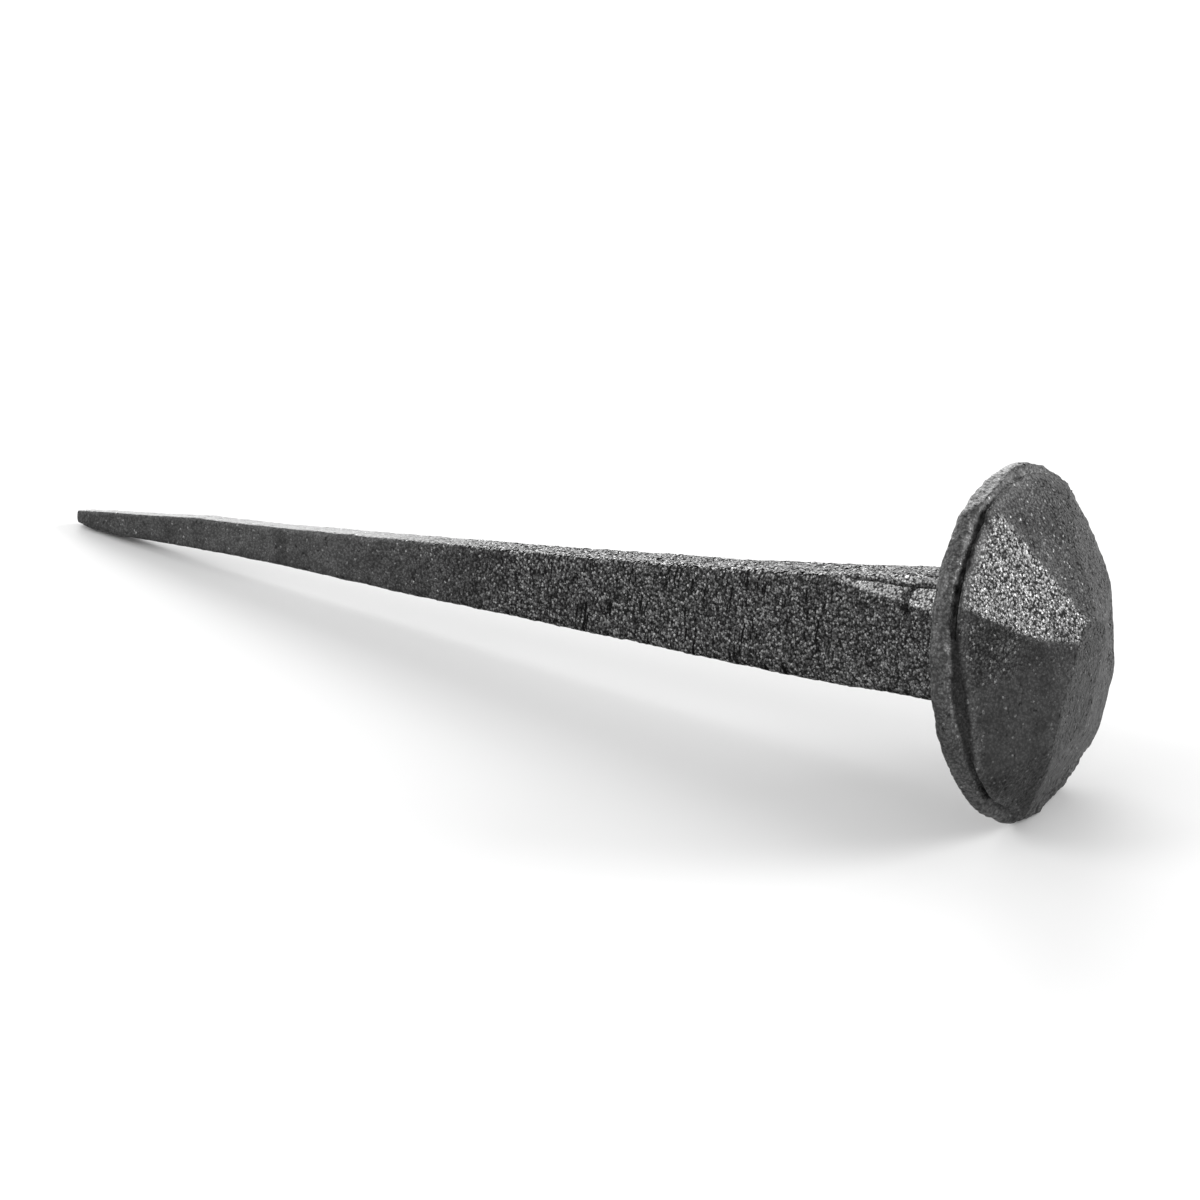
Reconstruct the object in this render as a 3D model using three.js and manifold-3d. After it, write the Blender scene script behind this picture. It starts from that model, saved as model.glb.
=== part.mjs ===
// A hand-forged spike: a square shank drawn down to a blunt point, and a broad domed head with a
// thin brim, hammered into facets. The shank's shoulder is let a little way into the head's
// underside, and its square tenon sits in a blind socket there.
//
// Both pieces are modelled in the spike's own frame: z = 0 is the seat (the head's flat underside),
// +Z runs from the point towards the crown of the head, and +Y is the side that lies uppermost.
// The whole spike is then laid down on a level surface, resting on its point and on the rim of its
// head: the surface is z = 0 and the head is towards +X. Millimetres.
import * as THREE from "three";
import { mergeVertices } from "three/addons/utils/BufferGeometryUtils.js";
import Module from "manifold-3d";

const wasm = await Module();
wasm.setup();

// Driving dimensions.
const SHANK_LENGTH = 126; // from the seat to the point: nominally five inches
const BAR_WIDTH = 12.7; // half-inch square bar, left full size under the head
const HEAD_RADIUS = 17.5;
const HEAD_HEIGHT = 10.4; // from the seat to the top of the blank, before hammering
const BRIM_THICKNESS = 1.8;
const CLEARANCE = 0.3; // between the shank and the head, all round

// The head was not struck quite true: its middle is off the shank's axis, towards a clock angle,
// and its crown leans away from the front and a little towards the upper side, in degrees.
const HEAD_OFF_CENTRE = 0.9;
const HEAD_OFF_CLOCK = 58;
const HEAD_LEAN_BACK = 5.9;
const HEAD_LEAN_UP = 2.2;
const SHANK_ROLL = 12.8; // degrees the shank's faces are turned from upright

// The shank's taper: distance from the point, half width, and how far the middle of the section has
// been knocked off the straight line towards the upper face.
const TAPER = [
  { from: 0, half: 0.4, drift: 0.3 },
  { from: 0.4, half: 0.6, drift: 0.3 },
  { from: 3, half: 1.0, drift: 0.15 },
  { from: 8, half: 1.35, drift: 0.1 },
  { from: 20, half: 1.75, drift: 0.35 },
  { from: 32, half: 2.05, drift: 0.2 },
  { from: 50, half: 2.9, drift: -0.05 },
  { from: 70, half: 3.7, drift: -0.2 },
  { from: 90, half: 4.6, drift: -0.25 },
  { from: 110, half: 5.65, drift: 0 },
  { from: SHANK_LENGTH, half: BAR_WIDTH / 2, drift: 0.5 },
];
const EDGE_CHAMFER = 0.14; // flat hammered along each long edge, as a share of the half width

const LET_IN = 0.6; // depth of the recess for the shank's shoulder, from the seat
const TENON_WIDTH = 7.4;
const TENON_LENGTH = 4.6;
const TENON_CHAMFER = 0.8;

// The head's turned-up profile, before hammering.
const BRIM_ROUNDING = 0.35;
const GROOVE_DEPTH = 1.0; // the crease between the brim and the dome
const GROOVE_WIDTH = 0.8;
const DOME_INSET = 0.5; // the dome's foot stands this far inside the brim
const DOME_STEPS = 10;
const HEAD_SEGMENTS = 48;

// Hammer facets on the dome: clock angle and tilt from the crown in degrees, and how far from the
// seat each facet's plane crosses the head's middle line.
const FACETS = [
  { clock: 2.3, tilt: 23.8, crosses: 9.9 },
  { clock: -23, tilt: 25.4, crosses: 10.45 },
  { clock: -59, tilt: 24.6, crosses: 9.92 },
  { clock: 37.3, tilt: 23.3, crosses: 9.64 },
  { clock: 91, tilt: 27.2, crosses: 10.43 },
  { clock: 86, tilt: 21.1, crosses: 9.58 },
  { clock: 199.7, tilt: 14.4, crosses: 8.23 },
  { clock: 146.4, tilt: 34.6, crosses: 14.07 },
  { clock: 188, tilt: 30, crosses: 11.3 },
  { clock: 218.5, tilt: 19.8, crosses: 9.02 },
  { clock: 262, tilt: 22, crosses: 9.8 },
];

// Flats hammered on the rim: clock angle, and distance from the head's middle line.
const RIM_FLATS = [
  { clock: 10, reach: 17.0 },
  { clock: 122, reach: 17.1 },
  { clock: 215, reach: 16.9 },
  { clock: 300, reach: 17.0 },
];
const FOOT_REACH = 16.5; // the rim's bottom flat, which the head rests on, below the shank's axis

const CUTTER_SIZE = 200; // a box far larger than the spike, for cutting along a plane
const CONTACT = 0.01; // corners this close to level with each other count as level

const degrees = THREE.MathUtils.degToRad;

// The direction at a clock angle round the spike's axis: 0 is the upper side, 90 the front.
function clockDirection(clock) {
  const a = degrees(clock);
  return new THREE.Vector3(-Math.sin(a), Math.cos(a), 0);
}

// A three.js geometry as a manifold solid, and back.
function toSolid(geometry) {
  const bare = geometry.clone();
  bare.deleteAttribute("normal");
  bare.deleteAttribute("uv");
  const merged = mergeVertices(bare, 1e-5);
  return new wasm.Manifold(
    new wasm.Mesh({
      numProp: 3,
      vertProperties: new Float32Array(merged.attributes.position.array),
      triVerts: new Uint32Array(merged.index.array),
    }),
  );
}

function toGeometry(solid) {
  const mesh = solid.getMesh();
  const geometry = new THREE.BufferGeometry();
  geometry.setAttribute("position", new THREE.BufferAttribute(mesh.vertProperties, mesh.numProp));
  geometry.setIndex(new THREE.BufferAttribute(mesh.triVerts, 1));
  return geometry;
}

// Cut away everything beyond the plane through a point with an outward normal.
function cutBeyond(solid, point, normal) {
  const box = new THREE.BoxGeometry(CUTTER_SIZE, CUTTER_SIZE, CUTTER_SIZE);
  box.translate(0, 0, CUTTER_SIZE / 2);
  const turn = new THREE.Quaternion().setFromUnitVectors(new THREE.Vector3(0, 0, 1), normal);
  box.applyQuaternion(turn);
  box.translate(point.x, point.y, point.z);
  return solid.subtract(toSolid(box));
}

// A square section with its corners cut off, as eight points, anticlockwise seen from the head.
function squareSection(half, chamfer) {
  const flat = half - chamfer;
  return [
    [half, -flat],
    [half, flat],
    [flat, half],
    [-flat, half],
    [-half, flat],
    [-half, -flat],
    [-flat, -half],
    [flat, -half],
  ];
}

// A closed solid through a row of sections, each { z, half, chamfer, drift }, from low z to high z.
function loftSquares(sections) {
  const points = [];
  for (const { z, half, chamfer, drift } of sections) {
    for (const [x, y] of squareSection(half, chamfer)) points.push(x, y + drift, z);
  }
  const sides = squareSection(1, 0).length;
  const faces = [];
  for (let ring = 0; ring < sections.length - 1; ring++) {
    for (let i = 0; i < sides; i++) {
      const a = ring * sides + i;
      const b = ring * sides + ((i + 1) % sides);
      faces.push(a, b, b + sides, a, b + sides, a + sides);
    }
  }
  const top = (sections.length - 1) * sides;
  for (let i = 1; i < sides - 1; i++) {
    faces.push(0, i + 1, i);
    faces.push(top, top + i, top + i + 1);
  }
  const geometry = new THREE.BufferGeometry();
  geometry.setAttribute("position", new THREE.Float32BufferAttribute(points, 3));
  geometry.setIndex(faces);
  return geometry;
}

// The way the head's crown points, in the spike's frame.
const crown = new THREE.Vector3(
  Math.tan(degrees(HEAD_LEAN_BACK)),
  Math.tan(degrees(HEAD_LEAN_UP)),
  1,
).normalize();

// The shank's sections from the point up, in its own frame.
const shankSections = TAPER.map(({ from, half, drift }) => ({
  z: from - SHANK_LENGTH,
  half,
  chamfer: half * EDGE_CHAMFER,
  drift,
}));
const thickEnd = shankSections[shankSections.length - 1];

// The shank: the tapered bar, cut off square to the crown at its shoulder, and the tenon above it.
function makeShank() {
  const sections = [...shankSections, { ...thickEnd, z: BRIM_THICKNESS }];
  const bar = loftSquares(sections).rotateZ(-degrees(SHANK_ROLL));
  const shoulder = crown.clone().multiplyScalar(LET_IN - CLEARANCE);
  const tenon = makePrism(TENON_LENGTH, { ...tenonSection, half: TENON_WIDTH / 2 });
  return toGeometry(cutBeyond(toSolid(bar), shoulder, crown).add(toSolid(tenon)));
}

const tenonSection = { chamfer: TENON_CHAMFER, drift: 0 };

// A square prism turned with the shank, from well below the seat up to a height above it.
function makePrism(high, section) {
  const prism = loftSquares([
    { ...section, z: -TENON_LENGTH },
    { ...section, z: high },
  ]);
  return prism.rotateZ(-degrees(SHANK_ROLL));
}

// The hollow in the head's underside: a shallow recess for the shoulder and the tenon's socket.
function makeSocket() {
  const mouth = makePrism(TENON_LENGTH, { ...thickEnd, half: thickEnd.half + CLEARANCE });
  const recess = cutBeyond(toSolid(mouth), crown.clone().multiplyScalar(LET_IN), crown);
  const half = TENON_WIDTH / 2 + CLEARANCE;
  const bore = makePrism(TENON_LENGTH + CLEARANCE, { ...tenonSection, half });
  return recess.add(toSolid(bore));
}

// The head before hammering: brim, crease and dome, turned round the head's own middle.
function makeHeadBlank() {
  const domeFoot = HEAD_RADIUS - DOME_INSET;
  const footHeight = BRIM_THICKNESS + GROOVE_WIDTH;
  const rise = HEAD_HEIGHT - footHeight;
  const domeRadius = (domeFoot ** 2 + rise ** 2) / (2 * rise);
  const footSlope = Math.asin(domeFoot / domeRadius);
  const profile = [
    new THREE.Vector2(0, 0),
    new THREE.Vector2(HEAD_RADIUS - BRIM_ROUNDING, 0),
    new THREE.Vector2(HEAD_RADIUS, BRIM_ROUNDING),
    new THREE.Vector2(HEAD_RADIUS, BRIM_THICKNESS - BRIM_ROUNDING),
    new THREE.Vector2(HEAD_RADIUS - BRIM_ROUNDING, BRIM_THICKNESS),
    new THREE.Vector2(domeFoot - GROOVE_DEPTH, BRIM_THICKNESS + GROOVE_WIDTH / 2),
  ];
  for (let i = 0; i < DOME_STEPS; i++) {
    const slope = footSlope * (1 - i / DOME_STEPS);
    const height = HEAD_HEIGHT - domeRadius * (1 - Math.cos(slope));
    profile.push(new THREE.Vector2(domeRadius * Math.sin(slope), height));
  }
  profile.push(new THREE.Vector2(0, HEAD_HEIGHT));
  return new THREE.LatheGeometry(profile, HEAD_SEGMENTS).rotateX(Math.PI / 2);
}

// The head: the blank hammered about its own middle line, set over onto the shank's shoulder,
// flattened where it rests, and hollowed for the shank's thick end.
function makeHead() {
  let hammered = toSolid(makeHeadBlank());
  for (const { clock, tilt, crosses } of FACETS) {
    const lean = degrees(tilt);
    const normal = clockDirection(clock).multiplyScalar(Math.sin(lean));
    normal.z = Math.cos(lean);
    hammered = cutBeyond(hammered, new THREE.Vector3(0, 0, crosses), normal);
  }
  for (const { clock, reach } of RIM_FLATS) {
    const outward = clockDirection(clock);
    hammered = cutBeyond(hammered, outward.clone().multiplyScalar(reach), outward);
  }
  const off = clockDirection(HEAD_OFF_CLOCK).multiplyScalar(HEAD_OFF_CENTRE);
  const leaned = toGeometry(hammered)
    .translate(off.x, off.y, 0)
    .applyQuaternion(new THREE.Quaternion().setFromUnitVectors(new THREE.Vector3(0, 0, 1), crown));
  const down = clockDirection(180);
  const footed = cutBeyond(toSolid(leaned), down.clone().multiplyScalar(FOOT_REACH), down);
  return toGeometry(footed.subtract(makeSocket()));
}

// Black forge scale over wrought steel; the shank's is a little smoother than the head's.
function forgedSteel(color, roughness) {
  return new THREE.MeshStandardMaterial({ color, roughness, metalness: 0.6 });
}

const shank = new THREE.Mesh(makeShank(), forgedSteel(0x454545, 0.5));
shank.name = "shank";

const head = new THREE.Mesh(makeHead(), forgedSteel(0x505050, 0.55));
head.name = "head";

const forging = new THREE.Group();
forging.add(shank, head);

// The tilt at which both the point and the rim touch a level surface: the flattest line from the
// rim's foot that stays below the whole of the shank.
function restingTilt() {
  const rimFoot = new THREE.Vector3();
  const corner = new THREE.Vector3();
  const rim = head.geometry.attributes.position;
  const bar = shank.geometry.attributes.position;
  for (let i = 0; i < rim.count; i++) {
    corner.fromBufferAttribute(rim, i);
    const lower = corner.y < rimFoot.y - CONTACT;
    const level = corner.y < rimFoot.y + CONTACT;
    if (lower || (level && corner.z < rimFoot.z)) rimFoot.copy(corner);
  }
  let tilt = Math.PI / 2;
  for (let i = 0; i < bar.count; i++) {
    corner.fromBufferAttribute(bar, i);
    const along = rimFoot.z - corner.z;
    if (along > SHANK_LENGTH / 2) {
      tilt = Math.min(tilt, Math.atan2(corner.y - rimFoot.y, along));
    }
  }
  return tilt;
}

// Lay the spike down: its axis leans up towards +X by the resting tilt, and +Y stays level.
const tilt = restingTilt();
const across = new THREE.Vector3(0, 1, 0);
const upper = new THREE.Vector3(-Math.sin(tilt), 0, Math.cos(tilt));
const axis = new THREE.Vector3(Math.cos(tilt), 0, Math.sin(tilt));
forging.quaternion.setFromRotationMatrix(new THREE.Matrix4().makeBasis(across, upper, axis));

// The origin is on the surface, under the middle of the spike's bounding box.
const spike = new THREE.Group();
spike.add(forging);
spike.updateMatrixWorld(true);
const box = new THREE.Box3().setFromObject(spike, true);
const middle = box.getCenter(new THREE.Vector3());
forging.position.set(-middle.x, -middle.y, -box.min.z);

export default spike;
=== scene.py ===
"""A hand-forged spike lying on a pale floor: a tapered square shank and a faceted, domed head."""

import math

import bpy
from mathutils import Matrix, Vector
from mathutils.geometry import intersect_point_line


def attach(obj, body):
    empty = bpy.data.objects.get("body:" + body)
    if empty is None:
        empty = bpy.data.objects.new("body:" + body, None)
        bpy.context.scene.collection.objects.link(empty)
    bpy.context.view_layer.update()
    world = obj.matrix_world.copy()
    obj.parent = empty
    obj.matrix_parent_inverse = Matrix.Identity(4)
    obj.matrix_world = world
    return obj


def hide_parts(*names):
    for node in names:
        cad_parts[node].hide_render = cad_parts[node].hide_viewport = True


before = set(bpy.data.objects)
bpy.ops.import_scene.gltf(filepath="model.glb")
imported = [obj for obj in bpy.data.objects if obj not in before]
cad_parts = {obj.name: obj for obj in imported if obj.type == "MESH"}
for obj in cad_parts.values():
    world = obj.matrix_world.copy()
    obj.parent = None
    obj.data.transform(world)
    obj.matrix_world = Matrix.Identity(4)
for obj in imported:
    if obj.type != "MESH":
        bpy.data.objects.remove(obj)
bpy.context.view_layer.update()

bl_info = {
    "name": "Forged Spike",
    "version": (1, 0, 0),
    "blender": (4, 5, 0),
    "location": "View3D > Sidebar > Spike",
    "description": "Models a hand-forged spike with a faceted head, and a plain studio to show it in",
    "category": "Add Mesh",
}

MM = 0.001

# Both pieces are worked in the spike's own frame, as in the CAD part: z = 0 is the seat (the
# head's flat underside), +Z runs from the point to the crown, and +Y is the upper side. A clock
# angle goes round that axis: 0 is the upper side and 90 the front.
SEAT_CENTRE = Vector((58.1828, 0.6677, 16.3134)) * MM
RESTING_TILT = 7.1464  # degrees that the spike's axis rises towards the head
HEAD_LEAN_BACK = 5.9  # degrees that the crown leans away from the front
HEAD_LEAN_UP = 2.2
HEAD_OFF_CLOCK = 58  # clock angle towards which the head is set off the shank's axis
SHANK_ROLL = 12.8  # degrees that the shank's faces are turned from upright

# The shank's taper in millimetres: distance from the point, half width, and how far the middle of
# the section has been knocked off the straight line towards the upper face.
TAPER = (
    (0.5, 0.5, 0.3),
    (0.8, 0.7, 0.3),
    (3, 1.0, 0.15),
    (8, 1.35, 0.1),
    (20, 1.75, 0.35),
    (32, 2.05, 0.2),
    (50, 2.9, -0.05),
    (70, 3.7, -0.2),
    (90, 4.6, -0.25),
    (110, 5.65, 0),
)
THICK_END_DRIFT = 0.5 * MM
SHOULDER = 1.2 * MM  # how far the thick end goes on inside the head
EDGE_PERCENT = 7  # how far the hammered flat on a long edge reaches into each face
LONG_EDGE = 0.3 * MM  # an edge that rises more than this runs along the bar
# The flat that one tilted blow left on the upper front edge: a point on it, and its normal.
PATCH_POINT = Vector((-5.2, 5.3, -17)) * MM
PATCH_NORMAL = Vector((-0.8, 0.6, 0.05))

BRIM_ROUNDING = 0.35 * MM
DOME_INSET = 0.5 * MM  # the dome's foot stands this far inside the brim
GROOVE_DEPTH = 1.0 * MM  # the crease between the brim and the dome
GROOVE_WIDTH = 0.8 * MM
DOME_START = 1.1 * MM  # height above the brim at which the dome's finish takes over
# Hammer facets on the dome: clock angle and tilt from the crown in degrees, and how far from the
# seat, in millimetres, each facet's plane crosses the head's middle line.
FACETS = (
    (2.3, 23.8, 9.9),
    (-23, 25.4, 10.45),
    (-59, 24.6, 9.92),
    (37.3, 23.3, 9.64),
    (91, 27.2, 10.43),
    (86, 21.1, 9.58),
    (199.7, 14.4, 8.23),
    (146.4, 34.6, 14.07),
    (188, 30, 11.3),
    (218.5, 19.8, 9.02),
    (262, 22, 9.8),
)
HIGHLIGHT_FACET = (37.3, 23.3)  # clock angle and tilt of the facet that faces the light and is painted light grey as a highlight
SMOOTH_FACETS = (91, 25)  # and of the two smoother ones below it, taken as one
# Flats hammered on the rim: clock angle, and distance from the head's middle line.
RIM_FLATS = ((10, 17.0), (122, 17.1), (215, 16.9), (300, 17.0))
DOME_STEPS = 12
HEAD_SIDES = 96
SOOT_AND_SHADE_COLOUR = "101010"  # soot, and painted shade darkening the creases

FLOOR_SIZE = 12  # metres, so that its edge is far out of sight
# The suns: name, then in degrees the angle round the floor (0 is behind the spike, 90 beyond its
# head), the height above the floor, and the softness.
SUNS = (("key", 315, 20, 40), ("side", 48, 22, 30), ("front", 228, 32, 24))


def linear(hex_code):
    """An sRGB hex colour such as "4a4a4a" as linear red, green, blue and alpha."""
    channels = [int(hex_code[i : i + 2], 16) / 255 for i in (0, 2, 4)]
    return [c / 12.92 if c <= 0.04045 else ((c + 0.055) / 1.055) ** 2.4 for c in channels] + [1]


def length_property(name, description, default):
    """A length that is given in millimetres."""
    return bpy.props.FloatProperty(
        name=name, description=description, default=default * MM, unit="LENGTH", subtype="DISTANCE"
    )


def colour_property(name, description, hex_code):
    """A colour that is given as an sRGB hex code."""
    return bpy.props.FloatVectorProperty(
        name=name, description=description, default=linear(hex_code), subtype="COLOR", size=4
    )


def scale_colours(settings):
    """The colours of a piece's gaps, scale, rubbed scale and glints."""
    return settings.gap_colour, settings.scale_colour, settings.wear_and_highlight_colour, settings.glint_colour


class ShankSettings(bpy.types.PropertyGroup):
    length: length_property("Length", "From the seat to the point", 126)
    bar: length_property("Bar width", "Width of the square bar, left full size at the head", 12.7)
    voxel: length_property("Surface step", "Size of the faces of the finished surface", 0.2)
    gap_colour: colour_property("Gaps", "Colour between the grains of the scale", "1a1a1a")
    scale_colour: colour_property("Scale", "Colour of the black forge scale", "565656")
    # Near white: a painted highlight on the tilted patch, which is picked by the way it faces.
    wear_and_highlight_colour: colour_property("Rubbed scale", "Colour where a blow has rubbed the scale", "dcdcdc")
    glint_colour: colour_property("Glints", "Colour of the grains that glint", "b0b0b0")


class HeadSettings(bpy.types.PropertyGroup):
    radius: length_property("Radius", "Radius of the brim", 17.5)
    height: length_property("Height", "From the seat to the top of the blank", 10.4)
    brim: length_property("Brim", "Thickness of the brim", 1.8)
    off_centre: length_property("Off centre", "How far the head is set off the shank's axis", 0.9)
    foot: length_property("Foot", "From the shank's axis to the flat the head rests on", 16.5)
    voxel: length_property("Surface step", "Size of the faces of the finished surface", 0.18)
    gap_colour: colour_property("Gaps", "Colour between the grains of the scale", "1c1c1c")
    scale_colour: colour_property("Scale", "Colour of the black forge scale", "484848")
    # A painted highlight on the facet that faces the light, and worn grey on the brim.
    wear_and_highlight_colour: colour_property("Rubbed scale", "Colour where a blow has rubbed the scale", "8c8c8c")
    glint_colour: colour_property("Glints", "Colour of the grains that glint", "a4a4a4")


class StudioSettings(bpy.types.PropertyGroup):
    floor_colour: colour_property("Floor", "Colour of the floor", "dadada")
    key: bpy.props.FloatProperty(
        name="Key light", description="Strength of the soft light behind", default=2.4
    )
    side: bpy.props.FloatProperty(
        name="Side light", description="Strength of the light beyond the head", default=2.3
    )
    front: bpy.props.FloatProperty(
        name="Front light", description="Strength of the light that picks out the grains", default=1.0
    )
    fill: bpy.props.FloatProperty(
        name="Fill", description="Strength of the white surroundings", default=0.95
    )


# Handling -----------------------------------------------------------------------------------------


def clock_direction(clock):
    """The direction at a clock angle round the spike's axis."""
    a = math.radians(clock)
    return Vector((-math.sin(a), math.cos(a), 0))


def facet_normal(clock, tilt):
    """The outward normal of a facet on the dome, before the head is leaned."""
    lean = math.radians(tilt)
    return clock_direction(clock) * math.sin(lean) + Vector((0, 0, math.cos(lean)))


def crown_direction():
    """The way the head's crown points, in the spike's frame."""
    lean = Vector((math.tan(math.radians(HEAD_LEAN_BACK)), math.tan(math.radians(HEAD_LEAN_UP)), 1))
    return lean.normalized()


def laid_down():
    """The matrix from the spike's own frame to where it lies on the floor."""
    tilt = math.radians(RESTING_TILT)
    across = Vector((0, 1, 0))
    upper = Vector((-math.sin(tilt), 0, math.cos(tilt)))
    axis = Vector((math.cos(tilt), 0, math.sin(tilt)))
    turn = Matrix((across, upper, axis)).transposed()
    return Matrix.Translation(SEAT_CENTRE) @ turn.to_4x4()


def start_piece(name):
    """Names the primitive just added and opens it in edit mode, selected all over."""
    piece = bpy.context.object
    piece.name = name
    piece.data.name = name
    bpy.ops.object.mode_set(mode="EDIT")
    bpy.ops.mesh.select_all(action="SELECT")
    return piece


def pick_edges(piece, wanted):
    """Selects the edges whose two ends pass a test, and nothing else, in edit mode."""
    bpy.ops.mesh.select_mode(type="EDGE")
    bpy.ops.mesh.select_all(action="DESELECT")
    bpy.ops.object.mode_set(mode="OBJECT")
    for edge in piece.data.edges:
        a, b = (piece.data.vertices[i].co for i in edge.vertices)
        edge.select = wanted(a, b)
    bpy.ops.object.mode_set(mode="EDIT")


def cut_beyond(point, normal):
    """Cuts away what lies beyond a plane and closes the cut, in edit mode."""
    bpy.ops.mesh.select_all(action="SELECT")
    bpy.ops.mesh.bisect(plane_co=point, plane_no=normal, use_fill=True, clear_outer=True)


def move_to(piece, matrix):
    """Puts a piece in a place, and that place into its mesh."""
    piece.matrix_world = matrix
    bpy.ops.object.transform_apply(location=True, rotation=True, scale=True)


def apply_modifier(piece, kind, **settings):
    """Adds a modifier with its settings and applies it."""
    modifier = piece.modifiers.new(kind.lower(), kind)
    for setting, value in settings.items():
        setattr(modifier, setting, value)
    bpy.ops.object.modifier_apply(modifier=modifier.name)


def skin(piece, voxel):
    """Gives a solid an even skin of small faces."""
    bpy.ops.mesh.select_all(action="SELECT")
    bpy.ops.mesh.normals_make_consistent(inside=False)
    bpy.ops.object.mode_set(mode="OBJECT")
    apply_modifier(piece, "REMESH", mode="VOXEL", voxel_size=voxel, adaptivity=0)


def mark(piece, name, weigh):
    """A vertex group whose weight at each point is a function of its place."""
    group = piece.vertex_groups.new(name=name)
    for vertex in piece.data.vertices:
        weight = weigh(vertex.co)
        if weight > 0:
            group.add([vertex.index], weight, "REPLACE")
    return name


def hammer(piece, name, size, depth, group):
    """Works the surface in and out along its normals in a solid pattern of a given size."""
    texture = bpy.data.textures.new(name, "CLOUDS")
    texture.noise_scale = size * MM
    apply_modifier(
        piece,
        "DISPLACE",
        texture=texture,
        texture_coords="LOCAL",
        strength=depth * MM,
        mid_level=0.5,
        vertex_group=group,
    )
    bpy.data.textures.remove(texture)


def along(piece, points, width):
    """A function of place: 1 near a line of points laid on the surface, 0 beyond its width."""
    line = [piece.closest_point_on_mesh(Vector(p) * MM)[1] for p in points]
    half = width * MM / 2

    def weigh(place):
        nearest = min(distance_to(place, a, b) for a, b in zip(line, line[1:]))
        return min(1, max(0, 1.5 - 1.5 * (nearest / half) ** 2))

    return weigh


def press(piece, name, weigh, depth):
    """Presses the surface in, all the way where a function of place is 1."""
    group = mark(piece, name, weigh)
    apply_modifier(piece, "DISPLACE", strength=-depth * MM, mid_level=0, vertex_group=group)


def distance_to(place, a, b):
    """How far a place is from the stretch between two points."""
    foot, share = intersect_point_line(place, a, b)
    return (place - a.lerp(b, min(1, max(0, share)))).length


def ease(value, low, high):
    """0 below low, 1 above high, and a smooth rise between."""
    t = min(1, max(0, (value - low) / (high - low)))
    return t * t * (3 - 2 * t)


def note(piece, name, value):
    """An attribute for the material, whose value at each point is a function of that point."""
    attribute = piece.data.attributes.new(name, "FLOAT", "POINT")
    attribute.data.foreach_set("value", [value(vertex) for vertex in piece.data.vertices])


def finish_piece(piece, material, node):
    """Lays a worked piece down on the floor and puts it in the place of its CAD node."""
    piece.vertex_groups.clear()
    move_to(piece, laid_down() @ piece.matrix_world)
    bpy.ops.object.shade_smooth()
    piece.data.materials.clear()
    piece.data.materials.append(material)
    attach(piece, "root")
    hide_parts(node)


# Materials ----------------------------------------------------------------------------------------


def add_node(tree, kind, settings=None, inputs=None, links=None):
    """Adds a node with its settings, the values of its inputs, and the links into them."""
    node = tree.nodes.new(kind)
    for setting, value in (settings or {}).items():
        setattr(node, setting, value)
    for socket, value in (inputs or {}).items():
        node.inputs[socket].default_value = value
    for socket, source in (links or {}).items():
        tree.links.new(source, node.inputs[socket])
    return node


def per_mm(size):
    """The scale of a noise, in object coordinates, whose features are this many millimetres."""
    return 1 / (size * MM)


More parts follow.
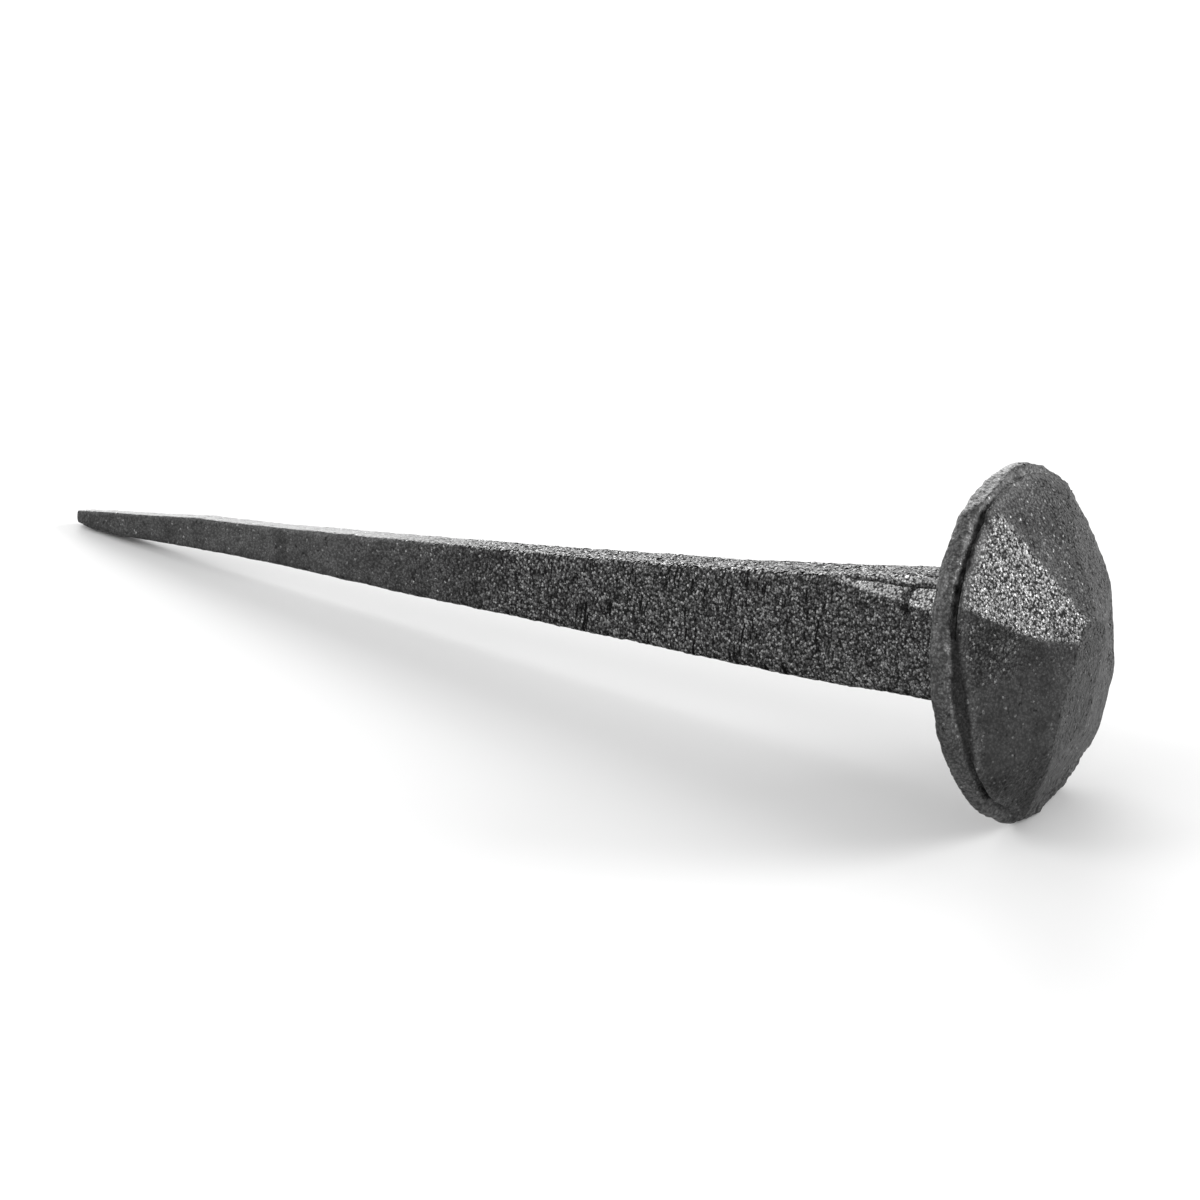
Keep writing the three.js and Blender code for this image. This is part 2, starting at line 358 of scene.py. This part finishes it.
def forge_scale(name, colours, grain, roughness, relief):
    """Black magnetite scale left on steel by the forge, brushed and oiled: a very dark skin of
    small grains with a low, half-metallic shine. The gaps between the grains are nearly black and
    some grains glint; where a blow has worn the skin it is greyer, and the same grey is painted
    as a highlight on faces that face the light. colours are those of the gaps, the scale, the
    worn scale with its painted highlight, and the glints, and grain and relief are in
    millimetres. Real grains are often finer than a tenth of a millimetre, so they are drawn
    coarser, to show."""
    gap, scale, rubbed, glint = colours
    material = bpy.data.materials.new(name)
    material.use_nodes = True
    tree = material.node_tree
    tree.nodes.clear()
    place = add_node(tree, "ShaderNodeTexCoord").outputs["Object"]
    wear_and_highlight_mask, rough, drawn, seam = (
        add_node(tree, "ShaderNodeAttribute", {"attribute_name": attribute}).outputs["Fac"]
        for attribute in ("rubbed", "grain", "drawn", "seam")
    )
    # Clouds a few millimetres wide, where the scale is thicker or thinner.
    bloom = add_node(
        tree,
        "ShaderNodeTexNoise",
        inputs={"Scale": per_mm(2.6), "Detail": 5, "Roughness": 0.65},
        links={"Vector": place},
    )
    # Grains of uneven shape: cells whose places are stirred by a finer noise.
    stir = add_node(
        tree,
        "ShaderNodeTexNoise",
        inputs={"Scale": per_mm(grain * 0.7), "Detail": 1},
        links={"Vector": place},
    )
    stirred = add_node(
        tree,
        "ShaderNodeVectorMath",
        {"operation": "MULTIPLY_ADD"},
        {1: (grain * 1.3 * MM,) * 3},
        {0: stir.outputs["Color"], 2: place},
    )
    cells = add_node(
        tree,
        "ShaderNodeTexVoronoi",
        inputs={"Scale": per_mm(grain), "Randomness": 1},
        links={"Vector": stirred.outputs["Vector"]},
    )
    crown = add_node(
        tree,
        "ShaderNodeMapRange",
        inputs={"From Min": 0.7, "From Max": 0.15},
        links={"Value": cells.outputs["Distance"]},
    )
    # Each grain's own random values: its glint, its height, and whether it is missing.
    own = add_node(tree, "ShaderNodeSeparateColor", links={"Color": cells.outputs["Color"]})
    # Where the skin is smooth only a few grains glint and a few are missing.
    rarity = add_node(
        tree,
        "ShaderNodeMapRange",
        inputs={"From Min": 0.3, "From Max": 0.9, "To Min": 50, "To Max": 2.5},
        links={"Value": rough},
    ).outputs["Result"]
    bright, missing = (
        add_node(
            tree,
            "ShaderNodeMath",
            {"operation": "POWER"},
            links={0: own.outputs[channel], 1: rarity},
        ).outputs["Value"]
        for channel in ("Red", "Blue")
    )
    standing = add_node(
        tree,
        "ShaderNodeMath",
        {"operation": "MULTIPLY_ADD"},
        {1: 0.6, 2: 0.4},
        {0: own.outputs["Green"]},
    )
    height = add_node(
        tree,
        "ShaderNodeMath",
        {"operation": "MULTIPLY"},
        links={0: crown.outputs["Result"], 1: standing.outputs["Value"]},
    )
    # Short cracks in the scale, lying across the bar where it was drawn out.
    across = add_node(
        tree,
        "ShaderNodeVectorMath",
        {"operation": "MULTIPLY"},
        {1: (per_mm(0.4), per_mm(2.2), per_mm(2.2))},
        {0: place},
    )
    cracks = add_node(
        tree,
        "ShaderNodeTexNoise",
        inputs={"Scale": 1, "Detail": 2, "Roughness": 0.5, "Distortion": 0.4},
        links={"Vector": across.outputs["Vector"]},
    )
    between = add_node(
        tree,
        "ShaderNodeMapRange",
        inputs={"From Min": 0.32, "From Max": 0.4},
        links={"Value": cracks.outputs["Fac"]},
    )
    cracked = add_node(
        tree,
        "ShaderNodeMix",
        {"data_type": "FLOAT"},
        {2: 1},
        {0: drawn, 3: between.outputs["Result"]},
    )
    # The lighter colour is a painted highlight on faces picked by the way they face, and worn grey on
    # the brim.
    tone = add_node(tree, "ShaderNodeMix", {"data_type": "RGBA"}, {6: scale, 7: rubbed}, {0: wear_and_highlight_mask})
    patches = add_node(
        tree,
        "ShaderNodeMapRange",
        inputs={"From Min": 0.35, "From Max": 0.65, "To Min": 0.7, "To Max": 1.3},
        links={"Value": bloom.outputs["Fac"]},
    )
    clouded = add_node(
        tree,
        "ShaderNodeVectorMath",
        {"operation": "SCALE"},
        links={0: tone.outputs[2], "Scale": patches.outputs["Result"]},
    )
    # Gaps and glints stand out by as much as the skin is granular there.
    solid = add_node(
        tree,
        "ShaderNodeMix",
        {"data_type": "FLOAT"},
        {2: 0.8},
        {0: rough, 3: crown.outputs["Result"]},
    )
    sound = add_node(
        tree,
        "ShaderNodeMath",
        {"operation": "MULTIPLY"},
        links={0: solid.outputs[0], 1: cracked.outputs[0]},
    )
    pitted = add_node(
        tree,
        "ShaderNodeMath",
        {"operation": "MULTIPLY_ADD"},
        {1: -0.8, 2: 1},
        {0: missing},
    )
    whole = add_node(
        tree,
        "ShaderNodeMath",
        {"operation": "MULTIPLY"},
        links={0: sound.outputs["Value"], 1: pitted.outputs["Value"]},
    )
    gapped = add_node(
        tree,
        "ShaderNodeMix",
        {"data_type": "RGBA"},
        {6: gap},
        {0: whole.outputs["Value"], 7: clouded.outputs["Vector"]},
    )
    lit = add_node(
        tree,
        "ShaderNodeMath",
        {"operation": "MULTIPLY"},
        links={0: bright, 1: crown.outputs["Result"]},
    )
    loose = add_node(
        tree,
        "ShaderNodeMath",
        {"operation": "MULTIPLY"},
        links={0: lit.outputs["Value"], 1: rough},
    )
    spark = add_node(
        tree,
        "ShaderNodeMath",
        {"operation": "MULTIPLY"},
        links={0: loose.outputs["Value"], 1: cracked.outputs[0]},
    )
    glinting = add_node(
        tree,
        "ShaderNodeMix",
        {"data_type": "RGBA"},
        {7: glint},
        {0: spark.outputs["Value"], 6: gapped.outputs[2]},
    )
    # Soot and painted shade darken the laps and the crease above the brim.
    soot_and_shade_mix = add_node(
        tree,
        "ShaderNodeMix",
        {"data_type": "RGBA"},
        {7: linear(SOOT_AND_SHADE_COLOUR)},
        {0: seam, 6: glinting.outputs[2]},
    )
    # Seen along the surface the crowns shine and the gaps between them stay dark.
    edge_shine = add_node(
        tree,
        "ShaderNodeMapRange",
        inputs={"From Min": 0.12, "From Max": 0.42, "To Min": 0.2},
        links={"Value": whole.outputs["Value"]},
    )
    gloss = add_node(
        tree,
        "ShaderNodeMapRange",
        inputs={"To Min": roughness + 0.12, "To Max": roughness - 0.06},
        links={"Value": lit.outputs["Value"]},
    )
    crack_bump = add_node(
        tree,
        "ShaderNodeBump",
        inputs={"Strength": 1, "Distance": 0.12 * MM},
        links={"Height": cracked.outputs[0]},
    )
    bump = add_node(
        tree,
        "ShaderNodeBump",
        inputs={"Distance": relief * MM},
        links={
            "Strength": rough,
            "Height": height.outputs["Value"],
            "Normal": crack_bump.outputs["Normal"],
        },
    )
    shader = add_node(
        tree,
        "ShaderNodeBsdfPrincipled",
        inputs={"Metallic": 1},
        links={
            "Base Color": soot_and_shade_mix.outputs[2],
            "Specular Tint": edge_shine.outputs["Result"],
            "Roughness": gloss.outputs["Result"],
            "Normal": bump.outputs["Normal"],
        },
    )
    add_node(tree, "ShaderNodeOutputMaterial", links={"Surface": shader.outputs["BSDF"]})
    return material


def matt_card(colour):
    """Smooth matt white card: even and without shine, so only the soft shadow shows on it."""
    material = bpy.data.materials.new("matt_card")
    material.use_nodes = True
    shader = material.node_tree.nodes["Principled BSDF"]
    shader.inputs["Base Color"].default_value = colour
    shader.inputs["Roughness"].default_value = 0.9
    shader.inputs["Specular IOR Level"].default_value = 0.1
    return material


# Pieces -------------------------------------------------------------------------------------------


class SPIKE_OT_shank(bpy.types.Operator):
    """Draw the square bar out to a point, and hammer its flats"""

    bl_idname = "spike.shank"
    bl_label = "Forge Shank"

    # How the surface is worked: name, size and depth of the pattern in millimetres, and where.
    hammering = (
        ("blows", 9, 0.22, ""),
        ("scale_edges", 2.2, 0.12, ""),
        ("scale", 0.9, 0.16, "coarse"),
        ("grain", 0.5, 0.16, "coarse"),
    )

    def execute(self, context):
        settings = context.scene.spike_shank
        piece = self.draw_out(settings)
        cut_beyond(PATCH_POINT, PATCH_NORMAL)
        skin(piece, settings.voxel)
        apply_modifier(piece, "SMOOTH", factor=0.5, iterations=4)
        self.note_finish(piece)
        mark(piece, "coarse", lambda place: 0.35 + 0.65 * self.coarseness(place))
        self.press_marks(piece)
        for work in self.hammering:
            hammer(piece, *work)
        move_to(piece, Matrix.Rotation(-math.radians(SHANK_ROLL), 4, "Z"))
        material = forge_scale(
            "brushed_forge_scale", scale_colours(settings), grain=0.27, roughness=0.36, relief=0.08
        )
        finish_piece(piece, material, "shank")
        return {"FINISHED"}

    def draw_out(self, settings):
        """A square at the thick end, drawn out to the point station by station."""
        bpy.ops.object.select_all(action="DESELECT")
        half = settings.bar / 2
        drift = THICK_END_DRIFT
        height = SHOULDER
        bpy.ops.mesh.primitive_plane_add(size=settings.bar, location=(0, drift, height))
        bpy.ops.object.transform_apply(location=True)
        piece = start_piece("shank_forging")
        stations = [(0, half, drift)]
        for start, half_width, off in reversed(TAPER):
            stations.append((start * MM - settings.length, half_width * MM, off * MM))
        for level, width, off in stations:
            bpy.ops.mesh.extrude_region_move(
                TRANSFORM_OT_translate={"value": (0, off - drift, level - height)}
            )
            ratio = width / half
            bpy.ops.transform.resize(value=(ratio, ratio, 1), center_override=(0, off, level))
            half, drift, height = width, off, level
        pick_edges(piece, lambda a, b: abs(a.z - b.z) > LONG_EDGE)
        bpy.ops.mesh.bevel(offset_type="PERCENT", offset_pct=EDGE_PERCENT, segments=2, affect="EDGES")
        bpy.ops.mesh.select_all(action="SELECT")
        bpy.ops.mesh.normals_make_consistent(inside=False)
        return piece

    def coarseness(self, place):
        """0 towards the point, where the scale is smooth, and 1 from the middle to the head."""
        return ease(place.z, -90 * MM, -55 * MM)

    def note_finish(self, piece):
        """The tilted patch, picked by the way it faces, is painted near white as a highlight, the
        grain fades towards the point, and the scale is cracked between the point's smooth part and
        the head."""
        facing = PATCH_NORMAL.normalized()

        # Painted highlight: near the head, the patch is picked by the way its faces point.
        def rubbed(vertex):
            near_head = ease(vertex.co.z, -20 * MM, -15 * MM)
            return ease(vertex.normal.dot(facing), 0.9, 0.97) * near_head

        def drawn(vertex):
            z = vertex.co.z
            return ease(z, -75 * MM, -50 * MM) * ease(-z, 14 * MM, 20 * MM)

        note(piece, "rubbed", rubbed)
        note(piece, "grain", lambda vertex: 0.5 + 0.42 * self.coarseness(vertex.co))
        note(piece, "drawn", drawn)

    def press_marks(self, piece):
        """The lap where the head was upset, and the edges of a few blows on the front face. Lines
        are points in millimetres, laid on the surface."""
        laps = [
            along(piece, ((-6, 2.6, -9.1), (-6, 3.6, -9.1), (-6, 4.6, -9.2), (-5.8, 5.4, -9.1)), 0.75),
            along(piece, ((-5.8, 5.4, -9.1), (-5.5, 5.9, -8.4), (-5.3, 6.1, -6)), 0.65),
            along(piece, ((-5.2, 5.5, -16), (-5.4, 5.8, -13), (-5.5, 5.8, -11), (-5.6, 5.8, -9)), 0.5),
        ]
        # The laps get soot and painted shade, and are pressed in below.
        note(piece, "seam", lambda v: 0.8 * max(weigh(v.co) for weigh in laps))
        for i, weigh in enumerate(laps):
            press(piece, f"lap_{i}", weigh, 0.3)
        for name, points, depth in (
            ("blow_a", ((-4.45, 0.6, -40.4), (-4.45, -3.8, -40.1)), 0.15),
            ("blow_b", ((-5.5, 2.8, -19.5), (-5.5, -1.4, -19.3)), 0.15),
            ("blow_c", ((-5.6, 3.1, -15.8), (-5.6, -2.0, -17.0)), 0.12),
        ):
            press(piece, name, along(piece, points, 0.6), depth)


class SPIKE_OT_head(bpy.types.Operator):
    """Upset the head, hammer its facets and turn its thin brim"""

    bl_idname = "spike.head"
    bl_label = "Forge Head"

    # How the surface is worked: name, size and depth of the pattern in millimetres, and where.
    hammering = (
        ("blows", 6, 0.1, "dome"),
        ("rim_waves", 4, 0.4, "brim"),
        ("rim_dents", 1.6, 0.3, "brim"),
        ("ragged_flash", 1.3, 0.6, "flash"),
        ("scale_edges", 1.8, 0.08, ""),
        ("scale", 0.8, 0.06, ""),
        ("grain", 0.45, 0.05, ""),
    )

    def execute(self, context):
        settings = context.scene.spike_head
        piece = self.upset(settings)
        self.hammer_facets()
        bpy.ops.object.mode_set(mode="OBJECT")
        off = clock_direction(HEAD_OFF_CLOCK) * settings.off_centre
        lean = Vector((0, 0, 1)).rotation_difference(crown_direction())
        move_to(piece, lean.to_matrix().to_4x4() @ Matrix.Translation(off))
        bpy.ops.object.mode_set(mode="EDIT")
        down = clock_direction(180)
        cut_beyond(down * settings.foot, down)
        skin(piece, settings.voxel)
        self.finish_surface(piece, settings, off)
        material = forge_scale(
            "coarse_forge_scale", scale_colours(settings), grain=0.27, roughness=0.38, relief=0.05
        )
        finish_piece(piece, material, "head")
        return {"FINISHED"}

    def upset(self, settings):
        """A disc at the seat, drawn up ring by ring: brim, crease and spherical dome."""
        bpy.ops.object.select_all(action="DESELECT")
        dome_foot = settings.radius - DOME_INSET
        foot_height = settings.brim + GROOVE_WIDTH
        rise = settings.height - foot_height
        dome_radius = (dome_foot**2 + rise**2) / (2 * rise)
        foot_slope = math.asin(dome_foot / dome_radius)
        rings = [
            (settings.radius, BRIM_ROUNDING),
            (settings.radius, settings.brim - BRIM_ROUNDING),
            (settings.radius - BRIM_ROUNDING, settings.brim),
            (dome_foot - GROOVE_DEPTH, settings.brim + GROOVE_WIDTH / 2),
        ]
        for i in range(DOME_STEPS):
            slope = foot_slope * (1 - i / DOME_STEPS)
            height = settings.height - dome_radius * (1 - math.cos(slope))
            rings.append((dome_radius * math.sin(slope), height))
        radius = settings.radius - BRIM_ROUNDING
        level = 0
        bpy.ops.mesh.primitive_circle_add(vertices=HEAD_SIDES, radius=radius, fill_type="NGON")
        piece = start_piece("head_forging")
        for wide, high in rings:
            bpy.ops.mesh.extrude_region_move(TRANSFORM_OT_translate={"value": (0, 0, high - level)})
            ratio = wide / radius
            bpy.ops.transform.resize(value=(ratio, ratio, 1), center_override=(0, 0, high))
            radius, level = wide, high
        bpy.ops.mesh.select_all(action="SELECT")
        bpy.ops.mesh.normals_make_consistent(inside=False)
        return piece

    def hammer_facets(self):
        """Cuts the facets off the dome and the flats off the rim."""
        for clock, tilt, crosses in FACETS:
            cut_beyond(Vector((0, 0, crosses * MM)), facet_normal(clock, tilt))
        for clock, reach in RIM_FLATS:
            outward = clock_direction(clock)
            cut_beyond(outward * reach * MM, outward)

    def finish_surface(self, piece, settings, off):
        """Rounds the ridges, and gives each part of the head its own finish and texture."""
        upright = crown_direction().rotation_difference(Vector((0, 0, 1)))
        dome_start = settings.brim + DOME_START
        groove = settings.brim + GROOVE_WIDTH / 2

        def own(place):
            """A place in the frame in which the head was turned."""
            return upright @ place - off

        def on_dome(place):
            return ease(own(place).z, dome_start - 0.5 * MM, dome_start + 0.5 * MM)

        def on_brim(place):
            return 1 - on_dome(place)

        def on_flash(place):
            """The brim's lowest part, where the metal was squeezed out ragged."""
            return on_brim(place) * ease(-place.y, 9 * MM, 14 * MM)

        def facing(vertex, facet):
            """1 where a point's normal is nearly that of a facet, 0 where it is 12 degrees off."""
            return ease((upright @ vertex.normal).dot(facet_normal(*facet)), 0.978, 0.995)

        def rubbed(vertex):
            """The facet that faces the light, painted light as a highlight, most of all near its foot,
            and the brim a little, as wear.
            """
            out = ease(own(vertex.co).xy.length, 3 * MM, 10 * MM)
            on_facet = facing(vertex, HIGHLIGHT_FACET) * on_dome(vertex.co)
            return max(0.35 * on_brim(vertex.co), on_facet * (0.5 + 0.5 * out))

        def granular(vertex):
            """Coarse on the facet with the painted highlight, on the upper side and on the dome's upper
            and lower shoulders, and smoother below."""
            on_facet = facing(vertex, HIGHLIGHT_FACET) - 0.5 * facing(vertex, SMOOTH_FACETS)
            here = own(vertex.co)
            from_side = math.atan2(-here.x, here.y) - math.radians(75)
            shoulder = ease(0.5 - abs(math.sin(from_side)), 0.2, 0.35)
            out = ease(here.xy.length, 8 * MM, 11 * MM)
            upper = ease(vertex.co.y, -4 * MM, 4 * MM)
            return 0.6 + (0.13 * upper + 0.3 * on_facet + 0.25 * shoulder * out) * on_dome(vertex.co)

        def in_groove(vertex):
            """The crease above the brim, which is open on the front only: soot and painted shade darken
            it there.
            """
            here = own(vertex.co)
            flat = Vector((here.x, here.y, 0))
            inside = 1 - ease(flat.length, settings.radius - 1.1 * MM, settings.radius - 0.6 * MM)
            level = ease(0.65 * MM - abs(here.z - groove), 0, 0.3 * MM)
            front = ease(flat.dot(clock_direction(85)) / flat.length, 0.2, 0.6)
            return 0.8 * inside * level * front

        for name, weigh in (("dome", on_dome), ("brim", on_brim), ("flash", on_flash)):
            mark(piece, name, weigh)
        apply_modifier(piece, "SMOOTH", factor=0.5, iterations=3)
        apply_modifier(piece, "SMOOTH", factor=0.5, iterations=24, vertex_group="dome")
        for name, value in (("rubbed", rubbed), ("grain", granular), ("seam", in_groove)):
            note(piece, name, value)
        for work in self.hammering:
            hammer(piece, *work)


class SPIKE_OT_studio(bpy.types.Operator):
    """Lay the floor, hang the lights and set the camera"""

    bl_idname = "spike.studio"
    bl_label = "Set Studio"

    def execute(self, context):
        settings = context.scene.spike_studio
        self.lay_floor(settings)
        self.hang_lights(context, settings)
        self.set_camera(context)
        context.scene.view_settings.view_transform = "Standard"
        return {"FINISHED"}

    def lay_floor(self, settings):
        bpy.ops.object.select_all(action="DESELECT")
        bpy.ops.mesh.primitive_plane_add(size=FLOOR_SIZE)
        floor = bpy.context.object
        floor.name = "floor"
        floor.data.materials.append(matt_card(settings.floor_colour))

    def hang_lights(self, context, settings):
        world = bpy.data.worlds.new("white_surroundings")
        world.use_nodes = True
        background = world.node_tree.nodes["Background"]
        background.inputs["Color"].default_value = linear("ffffff")
        background.inputs["Strength"].default_value = settings.fill
        context.scene.world = world
        for name, azimuth, elevation, spread in SUNS:
            light = bpy.data.lights.new(name + "_light", "SUN")
            light.energy = getattr(settings, name)
            light.angle = math.radians(spread)
            lamp = bpy.data.objects.new(name + "_light", light)
            a, e = math.radians(azimuth), math.radians(elevation)
            towards = Vector((math.sin(a) * math.cos(e), math.cos(a) * math.cos(e), math.sin(e)))
            lamp.rotation_mode = "QUATERNION"
            lamp.rotation_quaternion = towards.to_track_quat("Z", "Y")
            context.scene.collection.objects.link(lamp)

    def set_camera(self, context):
        """A long lens, a little above the spike and beyond its head."""
        azimuth = math.radians(36.529)
        elevation = math.radians(22.296)
        distance = 477.21 * MM
        target = Vector((7.408, 0.962, 8.505)) * MM
        back = Vector(
            (
                math.sin(azimuth) * math.cos(elevation),
                -math.cos(azimuth) * math.cos(elevation),
                math.sin(elevation),
            )
        )
        data = bpy.data.cameras.new("camera")
        data.lens = 136.73
        data.sensor_width = 36
        data.clip_start = 0.01
        data.clip_end = 20
        camera = bpy.data.objects.new("camera", data)
        camera.rotation_mode = "QUATERNION"
        camera.rotation_quaternion = back.to_track_quat("Z", "Y")
        camera.location = target + back * distance
        context.scene.collection.objects.link(camera)
        context.scene.camera = camera


class SPIKE_PT_panel(bpy.types.Panel):
    """The steps of making the spike, and their sizes and colours"""

    bl_label = "Forged Spike"
    bl_idname = "SPIKE_PT_panel"
    bl_space_type = "VIEW_3D"
    bl_region_type = "UI"
    bl_category = "Spike"

    def draw(self, context):
        scene = context.scene
        for operator, settings in (
            (SPIKE_OT_studio, scene.spike_studio),
            (SPIKE_OT_shank, scene.spike_shank),
            (SPIKE_OT_head, scene.spike_head),
        ):
            box = self.layout.box()
            for setting in settings.bl_rna.properties:
                if setting.identifier not in ("rna_type", "name"):
                    box.prop(settings, setting.identifier)
            box.operator(operator.bl_idname)


CLASSES = (
    ShankSettings,
    HeadSettings,
    StudioSettings,
    SPIKE_OT_studio,
    SPIKE_OT_shank,
    SPIKE_OT_head,
    SPIKE_PT_panel,
)


def register():
    for cls in CLASSES:
        bpy.utils.register_class(cls)
    bpy.types.Scene.spike_shank = bpy.props.PointerProperty(type=ShankSettings)
    bpy.types.Scene.spike_head = bpy.props.PointerProperty(type=HeadSettings)
    bpy.types.Scene.spike_studio = bpy.props.PointerProperty(type=StudioSettings)


def unregister():
    del bpy.types.Scene.spike_studio
    del bpy.types.Scene.spike_head
    del bpy.types.Scene.spike_shank
    for cls in reversed(CLASSES):
        bpy.utils.unregister_class(cls)


def main():
    register()
    bpy.ops.spike.studio()
    bpy.ops.spike.shank()
    bpy.ops.spike.head()


if __name__ == "__main__":
    main()
